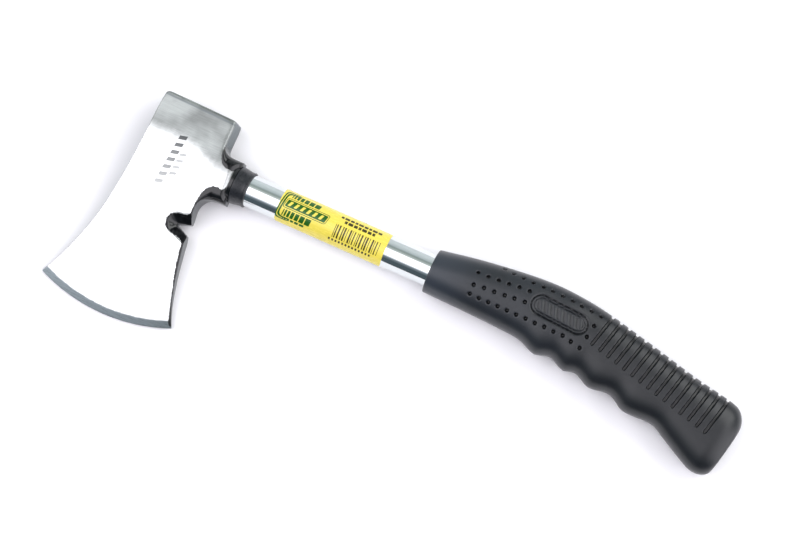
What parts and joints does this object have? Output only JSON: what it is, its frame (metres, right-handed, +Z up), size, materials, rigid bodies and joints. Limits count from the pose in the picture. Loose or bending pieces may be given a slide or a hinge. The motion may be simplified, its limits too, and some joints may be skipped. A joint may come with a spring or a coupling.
{
  "type": "hatchet",
  "caption": "Hand axe with a forged head, flat poll, nail slot, bright steel tube handle and a curved black rubber grip with finger lobes, lying on its side.",
  "frame": {"origin": "centre of the bottom of the bounding box, on the surface that the hatchet lies on, on its side", "axes": "+X along the handle from the head to the butt, +Y towards the poll's side, +Z up, across the head's thickness"},
  "size_m": [0.4594, 0.153, 0.0325],
  "materials": {
    "head": "forged steel, flanks ground bright, poll brushed, forging skin painted black at the neck and nail slot",
    "ferrule": "black paint, semi-gloss",
    "handle_tube": "bright chromium plating, mirror",
    "lock_pin": "drawn wire, hidden",
    "tube_plug": "moulded, hidden",
    "grip": "moulded black rubber, satin",
    "label": "printed film, yellow with a dark green block"
  },
  "bodies": {
    "root": {"head": "head", "ferrule": "ferrule", "handle_tube": "handle_tube", "lock_pin": "lock_pin", "tube_plug": "tube_plug", "grip": "grip", "label": "label"}
  },
  "joints": []
}
